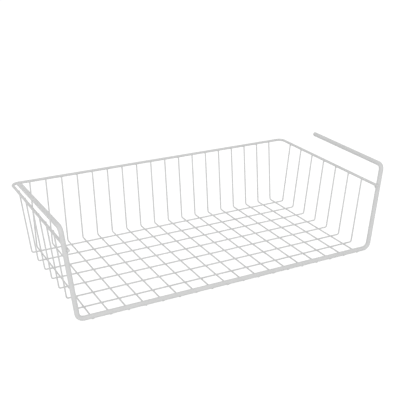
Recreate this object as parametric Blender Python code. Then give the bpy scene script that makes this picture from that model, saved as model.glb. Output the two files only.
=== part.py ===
"""Under shelf basket of welded, white coated steel wire.

Two round ended arms slide over a shelf board, and the basket hangs below it, with
the board between the arms and the basket's rim. X runs across the front, Y from
front to back and Z up, in metres. The origin is on the plane that the basket stands
on, at the middle of its footprint.
"""

import math

import bmesh
import bpy
from mathutils import Matrix, Vector

# Wires: diameters over the coating, across the flats
HANGER_WIRE = 0.0066
RIM_WIRE = 0.0040
MESH_WIRE = 0.0021
WELD_GAP = 0.0003

# Floor: from corner to corner of the centre lines
FLOOR_WIDTH = 0.4484
FLOOR_DEPTH = 0.2440
SIDE_MARGIN = 0.0125
FRONT_MARGIN = 0.0315
REAR_MARGIN = 0.0190
CROSS_WIRES = 18
LONG_WIRES = 7

# Walls: the sides and the uprights lean out alike, the back leans a little less
RIM_HEIGHT = 0.1046
SIDE_LEAN = math.radians(6.3)
BACK_LEAN = math.radians(5.5)

# Arms: the shelf board goes between the rim and the arms
BOARD_SPACE = 0.0254
ARM_LENGTH = 0.1755
ARM_SPLAY = 0.0026

# Bends, each as the radius on the inside of the wire
ARM_BEND = 0.0040
BAR_BEND = 0.0060
RIM_BEND = 0.0080
MESH_BEND = 0.0018

# Ends that run past a weld, from the centre line of the wire that they are welded to
CROSS_WIRE_OVERHANG = 0.0018
RISER_OVERHANG = 0.0012
RIM_OVERHANG = 0.0045

# Facets
HANGER_SIDES = 16
RIM_SIDES = 16
MESH_SIDES = 12
HANGER_BEND_STEPS = 6
RIM_BEND_STEPS = 7
MESH_BEND_STEPS = 5
DOME_STEPS = 3
SHARP_FROM = math.radians(50)

# Coating
COAT_WHITE = (0.83, 0.84, 0.83, 1.0)
COAT_ROUGHNESS = 0.38

# Radii
hanger_radius = HANGER_WIRE / 2
rim_radius = RIM_WIRE / 2
mesh_radius = MESH_WIRE / 2

# Heights of the centre lines: the cross wires lie lowest, and the long wires and the
# front bar lie on them
cross_z = mesh_radius
long_z = cross_z + MESH_WIRE + WELD_GAP
bar_z = cross_z + mesh_radius + WELD_GAP + hanger_radius
rim_z = RIM_HEIGHT
riser_top_z = rim_z + RISER_OVERHANG
arm_z = rim_z + rim_radius + BOARD_SPACE + hanger_radius

# Widths, from the middle outwards: riser, rim on its outer side, upright outside that
side_slope = math.tan(SIDE_LEAN)
floor_corner_x = FLOOR_WIDTH / 2
riser_x = floor_corner_x + side_slope * (rim_z - long_z)
rim_x = riser_x + (mesh_radius + WELD_GAP + rim_radius) / math.cos(SIDE_LEAN)
upright_x = rim_x + (rim_radius + WELD_GAP + hanger_radius) / math.cos(SIDE_LEAN)
bar_corner_x = upright_x - side_slope * (rim_z - bar_z)
arm_x = upright_x + side_slope * (arm_z - rim_z)

# Depths, from the front bar backwards, with the footprint's middle at zero
back_slope = math.tan(BACK_LEAN)
back_run = back_slope * (rim_z - cross_z)
rim_behind_riser = (mesh_radius + WELD_GAP + rim_radius) / math.cos(BACK_LEAN)
bar_to_rim = FLOOR_DEPTH + back_run + rim_behind_riser
front_reach = max(hanger_radius, RIM_OVERHANG)
bar_y = (front_reach - rim_radius - bar_to_rim) / 2
rear_corner_y = bar_y + FLOOR_DEPTH
rim_y = bar_y + bar_to_rim

# Spacing of the mesh, between the outermost wires of each direction
cross_pitch = (FLOOR_WIDTH - 2 * SIDE_MARGIN) / (CROSS_WIRES - 1)
long_pitch = (FLOOR_DEPTH - FRONT_MARGIN - REAR_MARGIN) / (LONG_WIRES - 1)


def clear_scene():
    for thing in list(bpy.data.objects):
        bpy.data.objects.remove(thing)


def coat_material(name):
    """White coating, a little glossy, as a Principled BSDF."""
    material = bpy.data.materials.new(name)
    material.use_nodes = True
    shader = material.node_tree.nodes["Principled BSDF"]
    shader.inputs["Base Color"].default_value = COAT_WHITE
    shader.inputs["Roughness"].default_value = COAT_ROUGHNESS
    shader.inputs["Metallic"].default_value = 0.0
    return material


def first_ring(mesh, centre, heading, flat, diameter, sides):
    """A ring of edges round the wire's start, with one of its flats turned to flat."""
    across = heading.cross(flat).normalized()
    axes = Matrix((across, heading.cross(across), heading)).transposed().to_4x4()
    turn = Matrix.Rotation(math.pi / sides, 4, "Z")
    made = bmesh.ops.create_circle(
        mesh,
        segments=sides,
        radius=diameter / 2 / math.cos(math.pi / sides),
        matrix=Matrix.Translation(centre) @ axes @ turn,
    )
    return list({edge for corner in made["verts"] for edge in corner.link_edges})


def corners_of(ring):
    return list({corner for edge in ring for corner in edge.verts})


def feed(mesh, ring, travel):
    """Draw the wire straight on from its last ring."""
    grown = bmesh.ops.extrude_edge_only(mesh, edges=ring)["geom"]
    corners = [part for part in grown if isinstance(part, bmesh.types.BMVert)]
    bmesh.ops.translate(mesh, verts=corners, vec=travel)
    return [part for part in grown if isinstance(part, bmesh.types.BMEdge)]


def bend(mesh, ring, centre, axis, angle, steps):
    """Swing the last ring round the bend's centre."""
    swung = bmesh.ops.spin(
        mesh,
        geom=ring,
        cent=centre,
        axis=axis,
        angle=angle,
        steps=steps,
        use_duplicate=False,
    )["geom_last"]
    return [part for part in swung if isinstance(part, bmesh.types.BMEdge)]


def dome(mesh, ring, centre, heading, radius):
    """Round off an end with rings that shrink along a quarter circle."""
    reach = Vector()
    share = 1.0
    for step in range(1, DOME_STEPS + 1):
        angle = math.pi / 2 * step / (DOME_STEPS + 1)
        rise = heading * (radius * math.sin(angle)) - reach
        ring = feed(mesh, ring, rise)
        reach += rise
        shrink = math.cos(angle) / share
        share = math.cos(angle)
        bmesh.ops.scale(
            mesh,
            verts=corners_of(ring),
            vec=(shrink, shrink, shrink),
            space=Matrix.Translation(-(centre + reach)),
        )
    return ring


def form_wire(name, points, bends, flat, diameter, sides, bend_steps, domed=False):
    """One wire, fed straight between the points and bent at each point between its ends.

    A point is where two centre lines would meet. The bend there replaces the corner by
    an arc, and bends holds each arc's radius on the inside of the wire."""
    mesh = bmesh.new()
    place = points[0]
    heading = (points[1] - points[0]).normalized()
    start = first_ring(mesh, place, heading, flat, diameter, sides)
    ring = start
    for corner, following, inside_bend in zip(points[1:], points[2:], bends):
        bend_radius = inside_bend + diameter / 2
        turned = (following - corner).normalized()
        axis = heading.cross(turned).normalized()
        angle = heading.angle(turned)
        setback = bend_radius * math.tan(angle / 2)
        ring = feed(mesh, ring, corner - heading * setback - place)
        centre = corner - heading * setback + axis.cross(heading) * bend_radius
        ring = bend(mesh, ring, centre, axis, angle, bend_steps)
        place = corner + turned * setback
        heading = turned
    ring = feed(mesh, ring, points[-1] - place)
    if domed:
        ring = dome(mesh, ring, points[-1], heading, diameter / 2)
        first_heading = (points[0] - points[1]).normalized()
        start = dome(mesh, start, points[0], first_heading, diameter / 2)
    bmesh.ops.contextual_create(mesh, geom=start)
    bmesh.ops.contextual_create(mesh, geom=ring)
    bmesh.ops.recalc_face_normals(mesh, faces=mesh.faces)
    shape = bpy.data.meshes.new(name)
    mesh.to_mesh(shape)
    mesh.free()
    shape.shade_smooth()
    shape.set_sharp_from_angle(angle=SHARP_FROM)
    return shape


def place_object(name, shape, location, parent):
    """Put a named object into the scene; copies of a wire share one mesh."""
    thing = bpy.data.objects.new(name, shape)
    bpy.context.scene.collection.objects.link(thing)
    thing.location = location
    thing.parent = parent
    return thing


def mirrored(points):
    """The points again on the other side, in reverse order."""
    return [Vector((-point.x, point.y, point.z)) for point in reversed(points)]


def hanger_frame(parent):
    """The thick wire: left arm, upright, front bar, right upright and right arm."""
    arm_corner = Vector((-arm_x, bar_y, arm_z))
    arm_end = Vector((-arm_x - ARM_SPLAY, bar_y + ARM_LENGTH - hanger_radius, arm_z))
    left = [arm_end, arm_corner, Vector((-bar_corner_x, bar_y, bar_z))]
    shape = form_wire(
        "hanger_frame",
        left + mirrored(left),
        [ARM_BEND, BAR_BEND, BAR_BEND, ARM_BEND],
        Vector((0, 0, -1)),
        HANGER_WIRE,
        HANGER_SIDES,
        HANGER_BEND_STEPS,
        domed=True,
    )
    shape.materials.append(coat_material("hanger_coat"))
    place_object("hanger_frame", shape, Vector(), parent)


def rim_wire(parent):
    """The medium wire round the sides and the back, welded inside the uprights."""
    left = [
        Vector((-rim_x, bar_y - RIM_OVERHANG, rim_z)),
        Vector((-rim_x, rim_y, rim_z)),
    ]
    shape = form_wire(
        "rim_wire",
        left + mirrored(left),
        [RIM_BEND, RIM_BEND],
        Vector((0, 0, -1)),
        RIM_WIRE,
        RIM_SIDES,
        RIM_BEND_STEPS,
    )
    shape.materials.append(coat_material("rim_coat"))
    place_object("rim_wire", shape, Vector(), parent)


def cross_wires(parent):
    """Thin wires from under the front bar along the floor and up the back."""
    riser = riser_top_z - cross_z
    shape = form_wire(
        "cross_wire",
        [
            Vector((0, bar_y - CROSS_WIRE_OVERHANG, cross_z)),
            Vector((0, rear_corner_y, cross_z)),
            Vector((0, rear_corner_y + back_slope * riser, riser_top_z)),
        ],
        [MESH_BEND],
        Vector((0, 0, -1)),
        MESH_WIRE,
        MESH_SIDES,
        MESH_BEND_STEPS,
    )
    shape.materials.append(coat_material("cross_wire_coat"))
    for index in range(CROSS_WIRES):
        x = (index - (CROSS_WIRES - 1) / 2) * cross_pitch
        place_object(f"cross_wire_{index + 1:02d}", shape, Vector((x, 0, 0)), parent)


def long_wires(parent):
    """Thin wires from the left rim across the floor to the right rim."""
    riser_run = side_slope * (riser_top_z - long_z)
    left = [
        Vector((-floor_corner_x - riser_run, 0, riser_top_z)),
        Vector((-floor_corner_x, 0, long_z)),
    ]
    shape = form_wire(
        "long_wire",
        left + mirrored(left),
        [MESH_BEND, MESH_BEND],
        Vector((0, 1, 0)),
        MESH_WIRE,
        MESH_SIDES,
        MESH_BEND_STEPS,
    )
    shape.materials.append(coat_material("long_wire_coat"))
    for index in range(LONG_WIRES):
        y = bar_y + FRONT_MARGIN + index * long_pitch
        place_object(f"long_wire_{index + 1}", shape, Vector((0, y, 0)), parent)


def build():
    clear_scene()
    basket = place_object("under_shelf_basket", None, Vector(), None)
    hanger_frame(basket)
    rim_wire(basket)
    cross_wires(basket)
    long_wires(basket)
    print(f"cross wire pitch {cross_pitch:.5f}, long wire pitch {long_pitch:.5f}")
    print(f"front bar at y {bar_y:.5f}, rim at y {rim_y:.5f} and x {rim_x:.5f}")
    print(f"arms at x {arm_x:.5f} and z {arm_z:.5f}")


build()
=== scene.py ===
# %% [markdown]
# # A coated wire basket that hangs under a shelf board
#
# The real basket is four kinds of steel wire: one thick wire bent into the front frame and its
# two arms, one medium wire for the rim, and two sets of thin wires for the mesh. They are bent,
# spot welded where they cross and then coated white as one, so the coat rounds every end and
# fills the corner at every weld.
#
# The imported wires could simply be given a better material. But they have few sides, most of
# their ends are square, and they only lie beside each other, which shows in a close view. So
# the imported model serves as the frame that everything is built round: each of its wires is
# measured, drawn again with a finer skin, and then hidden behind the new wire.

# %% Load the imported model
import math

import bmesh
import bpy
from mathutils import Matrix, Vector


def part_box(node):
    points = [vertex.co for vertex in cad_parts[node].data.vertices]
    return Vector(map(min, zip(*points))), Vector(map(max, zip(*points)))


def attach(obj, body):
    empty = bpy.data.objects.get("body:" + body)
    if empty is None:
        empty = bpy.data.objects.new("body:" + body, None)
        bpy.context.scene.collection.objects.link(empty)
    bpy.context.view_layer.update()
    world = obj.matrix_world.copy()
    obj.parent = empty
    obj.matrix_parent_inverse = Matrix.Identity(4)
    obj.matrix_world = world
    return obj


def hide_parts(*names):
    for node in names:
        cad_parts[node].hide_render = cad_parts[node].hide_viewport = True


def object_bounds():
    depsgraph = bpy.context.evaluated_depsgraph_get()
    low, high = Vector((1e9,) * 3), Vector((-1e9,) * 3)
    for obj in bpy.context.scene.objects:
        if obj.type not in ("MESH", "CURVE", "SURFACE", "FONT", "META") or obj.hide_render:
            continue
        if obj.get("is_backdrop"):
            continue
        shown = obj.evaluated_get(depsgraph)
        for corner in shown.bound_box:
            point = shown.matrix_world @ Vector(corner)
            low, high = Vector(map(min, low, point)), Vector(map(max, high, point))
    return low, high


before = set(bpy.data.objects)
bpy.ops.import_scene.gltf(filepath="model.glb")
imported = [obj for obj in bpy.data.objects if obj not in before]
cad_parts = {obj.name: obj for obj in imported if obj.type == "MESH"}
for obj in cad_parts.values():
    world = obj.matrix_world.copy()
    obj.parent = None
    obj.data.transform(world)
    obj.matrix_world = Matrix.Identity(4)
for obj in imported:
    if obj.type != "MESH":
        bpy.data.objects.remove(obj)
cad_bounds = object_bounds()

cross_nodes = sorted(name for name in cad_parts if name.startswith("cross_wire"))
long_nodes = sorted(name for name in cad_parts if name.startswith("long_wire"))
print(f"{len(cross_nodes)} cross wires, {len(long_nodes)} long wires")

# %% [markdown]
# ## Measure the wires
#
# A bent wire is fully told by its diameter, the points where its straight runs would meet, and
# the radius of each bend. All of it could be typed in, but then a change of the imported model
# would leave this script behind. A box round a node gives the diameter and the outermost points,
# so those are measured. The leans of the walls and the bend radii aren't in a box, so they are
# named here, as a maker would note them on the drawing.

# %% Diameters, leans and bends
UP = Vector((0, 0, 1))
RIGHT = Vector((1, 0, 0))
BACK = Vector((0, 1, 0))

HANGER_WIRE = 0.0066
SIDE_LEAN = math.radians(6.3)
BACK_LEAN = math.radians(5.5)
ARM_SPLAY = 0.0026
ARM_BEND = 0.0040
BAR_BEND = 0.0060
RIM_BEND = 0.0080
MESH_BEND = 0.0018

side_up = Vector((math.sin(SIDE_LEAN), 0, math.cos(SIDE_LEAN)))
back_up = Vector((0, math.sin(BACK_LEAN), math.cos(BACK_LEAN)))


def node_middle(node):
    low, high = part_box(node)
    return (low + high) / 2


cross_low, cross_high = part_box(cross_nodes[0])
rim_low, rim_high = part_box("rim_wire")
MESH_WIRE = cross_high.x - cross_low.x
RIM_WIRE = rim_high.z - rim_low.z
hanger_radius = HANGER_WIRE / 2
rim_radius = RIM_WIRE / 2
mesh_radius = MESH_WIRE / 2
print(f"mesh wire {MESH_WIRE * 1000:.2f} mm, rim wire {RIM_WIRE * 1000:.2f} mm")

# %% [markdown]
# ## Let the welds sink
#
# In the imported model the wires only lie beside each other, a hair apart. A spot weld presses the
# hot wires together, so that the real ones end up sunk into each other by a third of a wire. The
# rim and the cross wires stay where they are. The long wires sink down onto the cross wires and
# out into the rim, the front bar sinks down, and the uprights close in on the rim's ends. It is
# about a millimetre each time, and the crossings look welded because of it.
#
# The thin wires are nipped off close to their welds, and the coat pulls back from what is left.
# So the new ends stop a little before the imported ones.

# %% Centre lines after welding
MESH_SINK = 0.0010
BAR_SINK = 0.0010
UPRIGHT_SINK = 0.0018
END_TRIM = 0.0008

hanger_low, hanger_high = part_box("hanger_frame")
long_low, long_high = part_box(long_nodes[0])

cross_z = cross_low.z + mesh_radius
front_end_y = cross_low.y + END_TRIM
rear_top_z = cross_high.z - mesh_radius * math.sin(BACK_LEAN)
rear_top_y = cross_high.y - mesh_radius * math.cos(BACK_LEAN) + MESH_SINK / math.cos(BACK_LEAN)
rear_corner_y = rear_top_y - math.tan(BACK_LEAN) * (rear_top_z - cross_z)
riser_top_z = rear_top_z - END_TRIM
riser_top_y = rear_top_y - math.tan(BACK_LEAN) * END_TRIM

long_z = long_low.z + mesh_radius - MESH_SINK
side_high_x = long_high.x - mesh_radius * math.cos(SIDE_LEAN) + MESH_SINK / math.cos(SIDE_LEAN)
side_corner_x = side_high_x - math.tan(SIDE_LEAN) * (rear_top_z - long_z)
side_top_x = side_high_x - math.tan(SIDE_LEAN) * END_TRIM

rim_z = rim_low.z + rim_radius
rim_x = rim_high.x - rim_radius
rim_y = rim_high.y - rim_radius

bar_y = hanger_low.y + hanger_radius
bar_z = hanger_low.z + hanger_radius - BAR_SINK
arm_z = hanger_high.z - hanger_radius
arm_end_x = hanger_high.x - hanger_radius - UPRIGHT_SINK
arm_x = arm_end_x - ARM_SPLAY
bar_corner_x = arm_x - math.tan(SIDE_LEAN) * (arm_z - bar_z)
upright_x = arm_x - math.tan(SIDE_LEAN) * (arm_z - rim_z)
print(f"front bar at y {bar_y:.4f}, z {bar_z:.4f}; arms at x {arm_x:.4f}, z {arm_z:.4f}")

# %% [markdown]
# ## How a wire is drawn
#
# Blender can sweep a circle along a curve, but a curve turns its corners in even steps of its
# own choosing and leaves its ends flat. Wire benders work in another way: they feed the wire
# straight, clamp it, and swing it round a pin. The mesh tools can do the same. A ring of edges
# is extruded straight on, then spun round the bend's centre, then fed on again. Each bend gets
# the radius that the pin would give.

# %% Start, feed and swing a ring
def start_ring(mesh, centre, heading, side, radius, sides):
    """A ring of edges round the wire's first point."""
    across = heading.cross(side).normalized()
    axes = Matrix((across, heading.cross(across), heading)).transposed().to_4x4()
    made = bmesh.ops.create_circle(
        mesh, segments=sides, radius=radius, matrix=Matrix.Translation(centre) @ axes
    )
    return list({edge for corner in made["verts"] for edge in corner.link_edges})


def ring_corners(ring):
    return list({corner for edge in ring for corner in edge.verts})


def feed(mesh, ring, travel):
    """Draw the wire straight on from its last ring."""
    grown = bmesh.ops.extrude_edge_only(mesh, edges=ring)["geom"]
    corners = [part for part in grown if isinstance(part, bmesh.types.BMVert)]
    bmesh.ops.translate(mesh, verts=corners, vec=travel)
    return [part for part in grown if isinstance(part, bmesh.types.BMEdge)]


def swing(mesh, ring, centre, axis, angle, steps):
    """Swing the last ring round the bend's centre."""
    swung = bmesh.ops.spin(
        mesh, geom=ring, cent=centre, axis=axis, angle=angle, steps=steps, use_duplicate=False
    )["geom_last"]
    return [part for part in swung if isinstance(part, bmesh.types.BMEdge)]


# %% [markdown]
# ## Ends that the coat has rounded
#
# The wires are sheared off square, and the coat then pulls back from the sharp edge and rounds
# it. The thick arms are rounded fully, so that they slide over a board without scratching it.
# A bevel can round the edge of a cut, but not a whole end. Both kinds can be made in one way: a
# few more rings, each fed a little less and drawn in a little more, as along a quarter of an
# ellipse. Only the height of that ellipse differs.

# %% Round off an end
END_STEPS = 5
LAST_STEP_SHARE = 0.5     # the cap closes the wire half a step before the rings would meet


def round_end(mesh, ring, centre, heading, height):
    """Close an end with rings that shrink along a quarter ellipse of that height."""
    reach = Vector()
    share = 1.0
    for step in range(1, END_STEPS + 1):
        angle = math.pi / 2 * step / (END_STEPS + LAST_STEP_SHARE)
        rise = heading * (height * math.sin(angle)) - reach
        ring = feed(mesh, ring, rise)
        reach += rise
        shrink = math.cos(angle) / share
        share = math.cos(angle)
        bmesh.ops.scale(
            mesh,
            verts=ring_corners(ring),
            vec=(shrink, shrink, shrink),
            space=Matrix.Translation(-(centre + reach)),
        )
    bmesh.ops.contextual_create(mesh, geom=ring)


# %% Draw a whole wire
def draw_wire(points, bends, side, radius, sides, bend_steps, end_height):
    """A wire from its first point to its last, with a bend at each point between them."""
    mesh = bmesh.new()
    heading = (points[1] - points[0]).normalized()
    place = points[0] + heading * end_height
    start = start_ring(mesh, place, heading, side, radius, sides)
    ring = start
    start_place = place
    start_heading = -heading
    for corner, following, inside_bend in zip(points[1:], points[2:], bends):
        bend_radius = inside_bend + radius
        turned = (following - corner).normalized()
        axis = heading.cross(turned).normalized()
        angle = heading.angle(turned)
        setback = bend_radius * math.tan(angle / 2)
        ring = feed(mesh, ring, corner - heading * setback - place)
        centre = corner - heading * setback + axis.cross(heading) * bend_radius
        ring = swing(mesh, ring, centre, axis, angle, bend_steps)
        place = corner + turned * setback
        heading = turned
    end_place = points[-1] - heading * end_height
    ring = feed(mesh, ring, end_place - place)
    round_end(mesh, ring, end_place, heading, end_height)
    round_end(mesh, start, start_place, start_heading, end_height)
    bmesh.ops.recalc_face_normals(mesh, faces=mesh.faces)
    return mesh


# %% [markdown]
# ## Bend a scrap first
#
# Nobody sets up a bender on the good wire, so the tools are tried on a short scrap. Two numbers
# tell whether a mesh is sound. A closed skin has no open edges, and faces that point outwards
# give a volume above zero. A glance at the scrap would miss both faults.

# %% A scrap of mesh wire
SCRAP_LEG = 0.0100
SHEARED_SHARE = 0.45      # height of a sheared end's rounding, as a share of the wire's radius
MESH_SIDES = 18
MESH_BEND_STEPS = 8

scrap_corner = UP * SCRAP_LEG
scrap = draw_wire(
    [Vector(), scrap_corner, scrap_corner + BACK * SCRAP_LEG],
    [MESH_BEND],
    RIGHT,
    mesh_radius,
    MESH_SIDES,
    MESH_BEND_STEPS,
    mesh_radius * SHEARED_SHARE,
)
open_edges = [edge for edge in scrap.edges if not edge.is_manifold]
volume = scrap.calc_volume(signed=True) * 1e9
print(f"scrap: {len(scrap.faces)} faces, {len(open_edges)} open edges, {volume:.1f} cubic mm")
scrap.free()

# %% [markdown]
# ## The white coat
#
# Powder coat is a plastic skin, baked on. It is a plain off-white, about as glossy as an egg
# shell, and close to it has orange peel: a soft ripple a millimetre across, left where the
# powder melted and flowed. It also varies a little in gloss along a wire. A picture of such a
# coat would have to be unwrapped onto each wire. Noise on the object's own coordinates needs
# none of that, and every wire lies in the same space, so no two wires show the same spots.
#
# The ripple is a bump, because it is only two hundredths of a millimetre high: the noise stays
# near its middle, so it uses no more than a third of the height that the bump is given. The
# thick wire has more coat on it, so its ripple is a little longer.

# %% Noise, and a noise spread over a range
NOISE_LOW = 0.3
NOISE_HIGH = 0.7


def noise(nodes, links, coordinate, scale, detail):
    texture = nodes.new("ShaderNodeTexNoise")
    texture.inputs["Scale"].default_value = scale
    texture.inputs["Detail"].default_value = detail
    links.new(coordinate, texture.inputs["Vector"])
    return texture.outputs["Fac"]


def spread(nodes, links, value, low, high):
    """Stretch a noise, which stays near its middle, over the range from low to high."""
    ranged = nodes.new("ShaderNodeMapRange")
    ranged.interpolation_type = "SMOOTHSTEP"
    ranged.inputs["From Min"].default_value = NOISE_LOW
    ranged.inputs["From Max"].default_value = NOISE_HIGH
    ranged.inputs["To Min"].default_value = low
    ranged.inputs["To Max"].default_value = high
    links.new(value, ranged.inputs["Value"])
    return ranged.outputs["Result"]


# %% Coat material
COAT_COLOUR = (0.686, 0.689, 0.687)
COAT_DULL = (0.658, 0.661, 0.659)
COAT_IOR = 1.48
COAT_GLOSS_LOW = 0.42
COAT_GLOSS_HIGH = 0.54
RIPPLE_HEIGHT = 0.00014
RIPPLE_DETAIL = 1.5
CLOUD_SCALE = 55.0
CLOUD_DETAIL = 3.0
GLOSS_SCALE = 160.0
GLOSS_DETAIL = 2.0


def coat_material(name, ripple_scale):
    """Baked white powder coat with orange peel of that scale, in ripples per metre."""
    material = bpy.data.materials.new(name)
    material.use_nodes = True
    nodes = material.node_tree.nodes
    links = material.node_tree.links
    shader = nodes["Principled BSDF"]
    shader.inputs["Metallic"].default_value = 0.0
    shader.inputs["IOR"].default_value = COAT_IOR
    place = nodes.new("ShaderNodeTexCoord").outputs["Object"]

    clouds = noise(nodes, links, place, CLOUD_SCALE, CLOUD_DETAIL)
    tint = nodes.new("ShaderNodeMix")
    tint.data_type = "RGBA"
    tint.inputs["A"].default_value = (*COAT_DULL, 1.0)
    tint.inputs["B"].default_value = (*COAT_COLOUR, 1.0)
    links.new(spread(nodes, links, clouds, 0.0, 1.0), tint.inputs["Factor"])
    links.new(tint.outputs["Result"], shader.inputs["Base Color"])

    gloss = noise(nodes, links, place, GLOSS_SCALE, GLOSS_DETAIL)
    roughness = spread(nodes, links, gloss, COAT_GLOSS_LOW, COAT_GLOSS_HIGH)
    links.new(roughness, shader.inputs["Roughness"])

    ripple = noise(nodes, links, place, ripple_scale, RIPPLE_DETAIL)
    bump = nodes.new("ShaderNodeBump")
    bump.inputs["Strength"].default_value = 1.0
    bump.inputs["Distance"].default_value = RIPPLE_HEIGHT
    links.new(ripple, bump.inputs["Height"])
    links.new(bump.outputs["Normal"], shader.inputs["Normal"])
    return material


# %% Three coats
HANGER_RIPPLES = 650.0
RIM_RIPPLES = 800.0
MESH_RIPPLES = 1000.0

hanger_coat = coat_material("hanger_powder_coat", HANGER_RIPPLES)
rim_coat = coat_material("rim_powder_coat", RIM_RIPPLES)
mesh_coat = coat_material("mesh_powder_coat", MESH_RIPPLES)
for coat, ripples in ((hanger_coat, HANGER_RIPPLES), (rim_coat, RIM_RIPPLES), (mesh_coat, MESH_RIPPLES)):
    print(f"{coat.name}: ripples {1000 / ripples:.1f} mm long, {len(coat.node_tree.nodes)} nodes")

# %% [markdown]
# ## From a bmesh to a piece of the basket
#
# Nothing on the real basket moves, so every piece rides on the one body, root. A drawn wire
# stands for its imported node, which is then hidden, while the coat at the welds stands for none.
# The coat has no hard edge anywhere, so the mesh is shaded smooth, and only a fold of more than
# 60 degrees would stay crisp. The object could be moved to its place. It stays at the origin
# instead, with its place in its mesh, so that the coat's pattern lies in the one space that
# every wire shares.

# %% Finish a piece
SHARP_FROM = math.radians(60)


def finish_piece(name, mesh, coat, node=None):
    """Make the bmesh an object that rides on the basket and stands for its node."""
    shape = bpy.data.meshes.new(name)
    mesh.to_mesh(shape)
    mesh.free()
    shape.materials.append(coat)
    shape.shade_smooth()
    shape.set_sharp_from_angle(angle=SHARP_FROM)
    piece = bpy.data.objects.new(name, shape)
    bpy.context.scene.collection.objects.link(piece)
    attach(piece, "root")
    if node:
        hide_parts(node)
    return piece


# %% [markdown]
# ## The hanger frame
#
# One thick wire makes the left arm, the left upright, the front bar, the right upright and the
# right arm. It takes four bends: a tight one where each arm leaves its upright, and a rounder
# one at each end of the bar. It could be made as half a wire with a Mirror modifier, which
# would leave a seam in the middle of the bar. Here the points are written for the left half and
# mirrored, and the wire is then drawn in one go. It can't come out lopsided either way.

# %% Hanger frame
HANGER_SIDES = 40
HANGER_BEND_STEPS = 14


def mirrored(points):
    """The points again on the other side, in reverse order."""
    return [Vector((-point.x, point.y, point.z)) for point in reversed(points)]


left_half = [
    Vector((-arm_end_x, hanger_high.y, arm_z)),
    Vector((-arm_x, bar_y, arm_z)),
    Vector((-bar_corner_x, bar_y, bar_z)),
]
hanger = draw_wire(
    left_half + mirrored(left_half),
    [ARM_BEND, BAR_BEND, BAR_BEND, ARM_BEND],
    UP,
    hanger_radius,
    HANGER_SIDES,
    HANGER_BEND_STEPS,
    hanger_radius,
)
print(f"hanger frame: {len(hanger.faces)} faces")
finish_piece("coated_hanger_frame", hanger, hanger_coat, "hanger_frame")

# %% [markdown]
# ## The rim
#
# The rim is a medium wire bent to a wide U, with one round bend at each back corner. Its two
# ends run a little way past the uprights that they are welded to, and show there as small nubs.
# The same tools draw it. Only its ends differ: they are sheared, so the rounding is low.

# %% Rim wire
RIM_SIDES = 28
RIM_BEND_STEPS = 16

left_half = [Vector((-rim_x, rim_low.y, rim_z)), Vector((-rim_x, rim_y, rim_z))]
rim = draw_wire(
    left_half + mirrored(left_half),
    [RIM_BEND, RIM_BEND],
    UP,
    rim_radius,
    RIM_SIDES,
    RIM_BEND_STEPS,
    rim_radius * SHEARED_SHARE,
)
print(f"rim: {len(rim.faces)} faces")
finish_piece("coated_rim_wire", rim, rim_coat, "rim_wire")

# %% [markdown]
# ## The mesh
#
# The cross wires run from under the front bar to the back and turn up to the rim. The long wires
# lie across them, and both their ends turn up to the sides of the rim. An Array modifier would
# repeat one wire at an even pitch, but each real wire is a piece by itself and stands for its
# own node. Every wire of a set is bent on the same stop, so a set is one list of points, moved
# sideways to each node's place. The place goes into the points themselves, because a finished
# piece keeps its object at the origin.

# %% Cross wires
for node in cross_nodes:
    x = node_middle(node).x
    wire = draw_wire(
        [
            Vector((x, front_end_y, cross_z)),
            Vector((x, rear_corner_y, cross_z)),
            Vector((x, riser_top_y, riser_top_z)),
        ],
        [MESH_BEND],
        UP,
        mesh_radius,
        MESH_SIDES,
        MESH_BEND_STEPS,
        mesh_radius * SHEARED_SHARE,
    )
    faces = len(wire.faces)
    finish_piece(f"coated_{node}", wire, mesh_coat, node)
print(f"cross wires: {faces} faces each")

# %% Long wires
for node in long_nodes:
    y = node_middle(node).y
    left_half = [Vector((-side_top_x, y, riser_top_z)), Vector((-side_corner_x, y, long_z))]
    wire = draw_wire(
        left_half + mirrored(left_half),
        [MESH_BEND, MESH_BEND],
        BACK,
        mesh_radius,
        MESH_SIDES,
        MESH_BEND_STEPS,
        mesh_radius * SHEARED_SHARE,
    )
    faces = len(wire.faces)
    finish_piece(f"coated_{node}", wire, mesh_coat, node)
print(f"long wires: {faces} faces each")

# %% [markdown]
# ## Coat at the welds
#
# Where two wires cross, melted coat gathers in the four corners between them and leaves a small
# web there. Joining the wires and rounding the seam would make it too, but it is slow and fuses
# what should stay separate wires. Seen from above, the web is a diamond whose points run out
# along the wires. There are nearly two hundred of them, so each has to be light: a ball of four
# segments and two rings is already a diamond on both sides, and one smooth subdivision rounds it.
#
# More coat hangs on at the thick wire. Under the bar it wraps the end of each cross wire in a
# flat drop, and below each end of the rim it sags into the corner with the upright. Both show in
# the photograph, so these twenty are rounder balls.

# %% One web and one drop of coat
WEB_SEGMENTS = 4
WEB_RINGS = 2
WEB_ROUNDING = 0.35
DROP_SEGMENTS = 16
DROP_RINGS = 10


def coat_ball(mesh, centre, first, second, reaches, segments, rings):
    """A squashed ball at a weld; it reaches along first, along second and across both."""
    normal = first.cross(second).normalized()
    axes = Matrix((first * reaches[0], second * reaches[1], normal * reaches[2]))
    made = bmesh.ops.create_uvsphere(
        mesh,
        u_segments=segments,
        v_segments=rings,
        radius=1.0,
        matrix=Matrix.Translation(centre) @ axes.transposed().to_4x4(),
    )
    return list({edge for corner in made["verts"] for edge in corner.link_edges})


def coat_web(mesh, centre, first, second, reaches):
    """A soft diamond, with its points along the two directions."""
    edges = coat_ball(mesh, centre, first, second, reaches, WEB_SEGMENTS, WEB_RINGS)
    bmesh.ops.subdivide_edges(mesh, edges=edges, cuts=1, smooth=WEB_ROUNDING, use_grid_fill=True)


def coat_drop(mesh, centre, first, second, reaches):
    """A round drop."""
    coat_ball(mesh, centre, first, second, reaches, DROP_SEGMENTS, DROP_RINGS)


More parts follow.
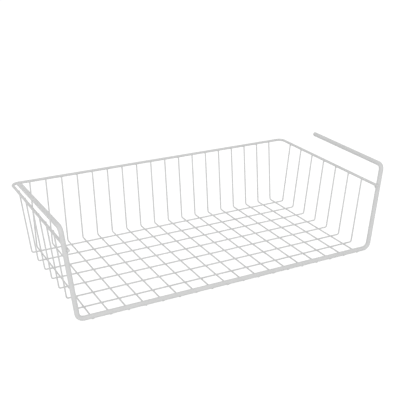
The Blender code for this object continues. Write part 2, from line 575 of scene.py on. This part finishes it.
# %% Heights and depths of the welds
floor_weld_z = (cross_z + long_z) / 2
bar_weld_z = (cross_z + mesh_radius + bar_z - hanger_radius) / 2
back_weld_y = (riser_top_y + rim_y) / 2
side_weld_x = (side_top_x + rim_x) / 2
upright_weld_x = (rim_x + rim_radius + upright_x - hanger_radius) / 2
print(f"floor welds at z {floor_weld_z:.4f}, bar welds at z {bar_weld_z:.4f}")

# %% Webs on the floor and at the rim, drops under the bar and at the uprights
FLOOR_WEB = (0.0021, 0.0021, 0.0010)      # along both wires, then up and down
RIM_WEB = (0.0020, 0.0019, 0.0012)        # along the rim, along the riser, through both
RIM_WEB_LOWER = 0.0008
BAR_DROP = (0.0024, 0.0025, 0.0009)       # along the bar, along the cross wire, down
UPRIGHT_DROP = (0.0034, 0.0040, 0.0018)   # along the rim, along the upright, through both
UPRIGHT_DROP_LOWER = 0.0020
UPRIGHT_DROP_BACK = 0.0012

floor_webs = bmesh.new()
bar_drops = bmesh.new()
rim_webs = bmesh.new()
upright_drops = bmesh.new()

for cross_node in cross_nodes:
    x = node_middle(cross_node).x
    for long_node in long_nodes:
        place = Vector((x, node_middle(long_node).y, floor_weld_z))
        coat_web(floor_webs, place, RIGHT, BACK, FLOOR_WEB)
    place = Vector((x, back_weld_y, rim_z)) - back_up * RIM_WEB_LOWER
    coat_web(rim_webs, place, RIGHT, back_up, RIM_WEB)
    coat_drop(bar_drops, Vector((x, bar_y, bar_weld_z)), RIGHT, BACK, BAR_DROP)

for side in (-1, 1):
    lean = Vector((side_up.x * side, 0, side_up.z))
    for long_node in long_nodes:
        place = Vector((side * side_weld_x, node_middle(long_node).y, rim_z)) - lean * RIM_WEB_LOWER
        coat_web(rim_webs, place, BACK, lean, RIM_WEB)
    place = Vector((side * upright_weld_x, bar_y + UPRIGHT_DROP_BACK, rim_z)) - lean * UPRIGHT_DROP_LOWER
    coat_drop(upright_drops, place, BACK, lean, UPRIGHT_DROP)

for name, balls, coat, slot in (
    ("floor_weld_webs", floor_webs, mesh_coat, "mesh_coat"),
    ("bar_weld_drops", bar_drops, hanger_coat, "hanger_coat"),
    ("rim_weld_webs", rim_webs, rim_coat, "rim_coat"),
    ("upright_weld_drops", upright_drops, hanger_coat, "hanger_coat"),
):
    bmesh.ops.recalc_face_normals(balls, faces=balls.faces)
    print(f"{name}: {len(balls.faces)} faces")
    finish_piece(name, balls, coat)

# %% [markdown]
# ## A white floor and a white surround
#
# A white object on white is the hardest thing to light: the surround has to be pure white while
# the wires stay grey enough to be seen. More light would whiten both. Instead the floor has two
# sides to it. The light that it throws up onto the wires comes from a matt white paint. What
# the camera and reflections see is a darker paint, so that shadows stay faint, with enough glow
# on top to read as white. The wires aren't lit by that glow.
#
# The world works in the same way: it lights the wires with a soft grey and looks white.

# %% Tell apart what is seen and what gives light
def seen_directly(nodes, links):
    """One for camera, glossy and transmission rays, zero for light that falls on the object."""
    path = nodes.new("ShaderNodeLightPath")
    either = nodes.new("ShaderNodeMath")
    either.operation = "MAXIMUM"
    links.new(path.outputs["Is Camera Ray"], either.inputs[0])
    links.new(path.outputs["Is Glossy Ray"], either.inputs[1])
    seen = nodes.new("ShaderNodeMath")
    seen.operation = "MAXIMUM"
    links.new(either.outputs["Value"], seen.inputs[0])
    links.new(path.outputs["Is Transmission Ray"], seen.inputs[1])
    return seen.outputs["Value"]


# %% Floor paint
FLOOR_WHITE = 0.90
FLOOR_SEEN = 0.22
FLOOR_GLOW = 0.90

floor_paint = bpy.data.materials.new("floor_paint")
floor_paint.use_nodes = True
nodes = floor_paint.node_tree.nodes
links = floor_paint.node_tree.links
shader = nodes["Principled BSDF"]
seen = seen_directly(nodes, links)
paint = nodes.new("ShaderNodeMix")
paint.data_type = "RGBA"
paint.inputs["A"].default_value = (FLOOR_WHITE, FLOOR_WHITE, FLOOR_WHITE, 1.0)
paint.inputs["B"].default_value = (FLOOR_SEEN, FLOOR_SEEN, FLOOR_SEEN, 1.0)
links.new(seen, paint.inputs["Factor"])
links.new(paint.outputs["Result"], shader.inputs["Base Color"])
shader.inputs["Roughness"].default_value = 1.0
shader.inputs["Specular IOR Level"].default_value = 0.0
shader.inputs["Emission Color"].default_value = (1.0, 1.0, 1.0, 1.0)
glow = nodes.new("ShaderNodeMath")
glow.operation = "MULTIPLY"
glow.inputs[1].default_value = FLOOR_GLOW
links.new(seen, glow.inputs[0])
links.new(glow.outputs["Value"], shader.inputs["Emission Strength"])
print(f"floor paint: {len(nodes)} nodes")

# %% Floor
FLOOR_HALF = 9.0

floor_mesh = bmesh.new()
bmesh.ops.create_grid(floor_mesh, x_segments=1, y_segments=1, size=FLOOR_HALF)
floor_shape = bpy.data.meshes.new("floor")
floor_mesh.to_mesh(floor_shape)
floor_mesh.free()
floor_shape.materials.append(floor_paint)
floor = bpy.data.objects.new("floor", floor_shape)
bpy.context.scene.collection.objects.link(floor)
floor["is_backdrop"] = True
print(f"floor {floor.dimensions.x:.0f} by {floor.dimensions.y:.0f} m")

# %% World
SURROUND_LIGHT = 0.76

world = bpy.data.worlds.new("white_surround")
world.use_nodes = True
bpy.context.scene.world = world
nodes = world.node_tree.nodes
links = world.node_tree.links
level = nodes.new("ShaderNodeMapRange")
level.inputs["To Min"].default_value = SURROUND_LIGHT
level.inputs["To Max"].default_value = 1.0
links.new(seen_directly(nodes, links), level.inputs["Value"])
background = nodes["Background"]
background.inputs["Color"].default_value = (1.0, 1.0, 1.0, 1.0)
links.new(level.outputs["Result"], background.inputs["Strength"])
print(f"the surround gives {SURROUND_LIGHT:.0%} of the light that it shows")

# %% [markdown]
# ## One soft box
#
# In the photograph the wires are lightest where they face forward, a little darker towards the
# right end of the basket, and nothing has a hard edge. That is one broad soft box beside the
# camera, with the white surround filling in. A sun lamp would light both ends alike. The box
# stands near enough that its light falls off along the bar.

# %% Soft box
LOOKED_AT = Vector((-0.0003, -0.0208, 0.0878))
BOX_AZIMUTH = -28.0
BOX_HEIGHT = 24.0
BOX_DISTANCE = 2.2
BOX_SIZE = 1.6
BOX_WATTS = 11.0


def looking(azimuth, height, roll, distance):
    """A place at that distance from the point looked at, turned to look at it."""
    turn = Matrix.Rotation(math.radians(azimuth), 4, "Z")
    tilt = Matrix.Rotation(math.radians(90 - height), 4, "X")
    spin = Matrix.Rotation(math.radians(roll), 4, "Z")
    away = Matrix.Translation((0, 0, distance))
    return Matrix.Translation(LOOKED_AT) @ turn @ tilt @ spin @ away


lamp = bpy.data.lights.new("front_soft_box", "AREA")
lamp.shape = "SQUARE"
lamp.size = BOX_SIZE
lamp.energy = BOX_WATTS
soft_box = bpy.data.objects.new("front_soft_box", lamp)
soft_box.matrix_world = looking(BOX_AZIMUTH, BOX_HEIGHT, 0.0, BOX_DISTANCE)
bpy.context.scene.collection.objects.link(soft_box)
x, y, z = soft_box.matrix_world.translation
print(f"soft box at {x:.2f}, {y:.2f}, {z:.2f}")

# %% [markdown]
# ## The camera
#
# The photograph was taken with a long lens from the left of the middle and above the rim. A
# camera placed by eye is soon a few degrees off. The angles, the distance and the lens below
# were found by laying the drawn wires over the photograph. The roll is a tenth of a degree,
# which is just how the camera happened to be held.

# %% Camera
VIEW_AZIMUTH = -27.54
VIEW_HEIGHT = 21.78
VIEW_ROLL = -0.11
VIEW_DISTANCE = 1.1627
SENSOR = 36.0
FOCAL_PIXELS = 790.3
IMAGE_PIXELS = 400

lens = bpy.data.cameras.new("camera")
lens.sensor_width = SENSOR
lens.sensor_fit = "HORIZONTAL"
lens.lens = FOCAL_PIXELS / IMAGE_PIXELS * SENSOR
camera = bpy.data.objects.new("camera", lens)
camera.matrix_world = looking(VIEW_AZIMUTH, VIEW_HEIGHT, VIEW_ROLL, VIEW_DISTANCE)
bpy.context.scene.collection.objects.link(camera)
bpy.context.scene.camera = camera
print(f"lens {lens.lens:.1f} mm")

# %% [markdown]
# ## Colours as written, and a last measurement
#
# The Standard view shows a colour as it is written, where others would bend the whites. The
# sizes of the imported model and of the drawn one are printed, so that they can be compared:
# the wires sink into each other, so the drawn basket has to come out a little narrower.

# %% View and sizes
bpy.context.scene.view_settings.view_transform = "Standard"
boxes = {"cad": cad_bounds, "visual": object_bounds()}
for name, (low, high) in boxes.items():
    lengths = [f"{(top - base) * 1000:.1f}" for base, top in zip(low, high)]
    print(f"{name}: {' by '.join(lengths)} mm")
